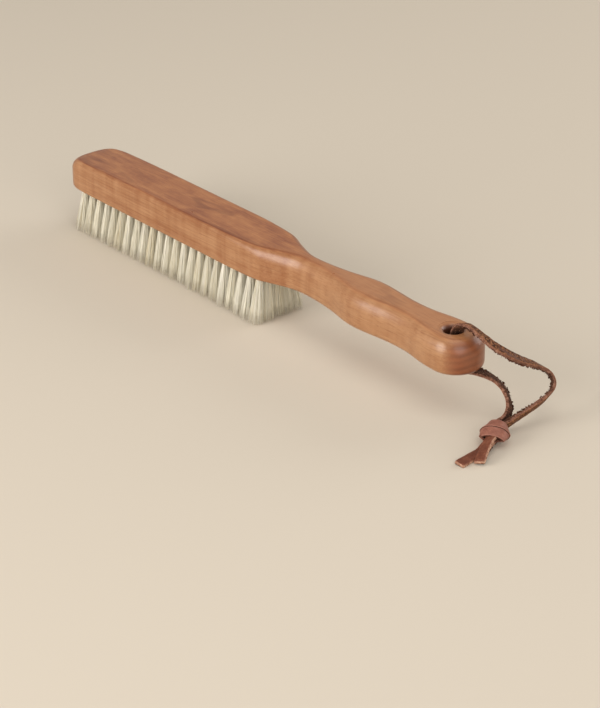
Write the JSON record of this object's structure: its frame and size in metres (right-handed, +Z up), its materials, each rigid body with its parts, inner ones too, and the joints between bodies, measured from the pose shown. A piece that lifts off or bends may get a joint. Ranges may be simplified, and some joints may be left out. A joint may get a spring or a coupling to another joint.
{
  "type": "clothes brush",
  "caption": "Long-handled wooden clothes brush standing on its pale natural bristles, with a knotted leather hanging thong through the end of its waisted handle.",
  "frame": {"origin": "on the table, level with the bristle tips, under the middle of the brush without its thong", "axes": "+X along the brush from the bristle head to the handle end, +Y across it, +Z up from the tips to the wooden back"},
  "size_m": [0.3352, 0.0681, 0.0479],
  "materials": {
    "wood": "oiled pear or cherry wood, satin",
    "bristle": "pale natural bristle",
    "leather": "brown leather, smooth outside and napped inside"
  },
  "bodies": {
    "brush": {"brush_body": "wood", "bristle_row_01": "bristle", "bristle_row_02": "bristle", "bristle_row_03": "bristle", "bristle_row_04": "bristle", "bristle_row_05": "bristle", "bristle_row_06": "bristle", "bristle_row_07": "bristle", "bristle_row_08": "bristle", "bristle_row_09": "bristle", "bristle_row_10": "bristle", "bristle_row_11": "bristle", "bristle_row_12": "bristle", "bristle_row_13": "bristle", "bristle_row_14": "bristle", "bristle_row_15": "bristle", "bristle_row_16": "bristle", "bristle_row_17": "bristle", "bristle_row_18": "bristle", "bristle_row_19": "bristle", "bristle_row_20": "bristle", "bristle_row_21": "bristle", "bristle_row_22": "bristle", "bristle_row_23": "bristle", "bristle_row_24": "bristle"},
    "thong": {"thong_loop": "leather", "thong_knot": "leather", "thong_upper_tail": "leather", "thong_lower_tail": "leather"}
  },
  "joints": [
    {"name": "thong_swing", "type": "hinge", "parent": "brush", "child": "thong", "pos_m": [0.1346, 0, 0.0325], "axis": [0, 0, 1], "range_deg": [-90, 90]}
  ]
}
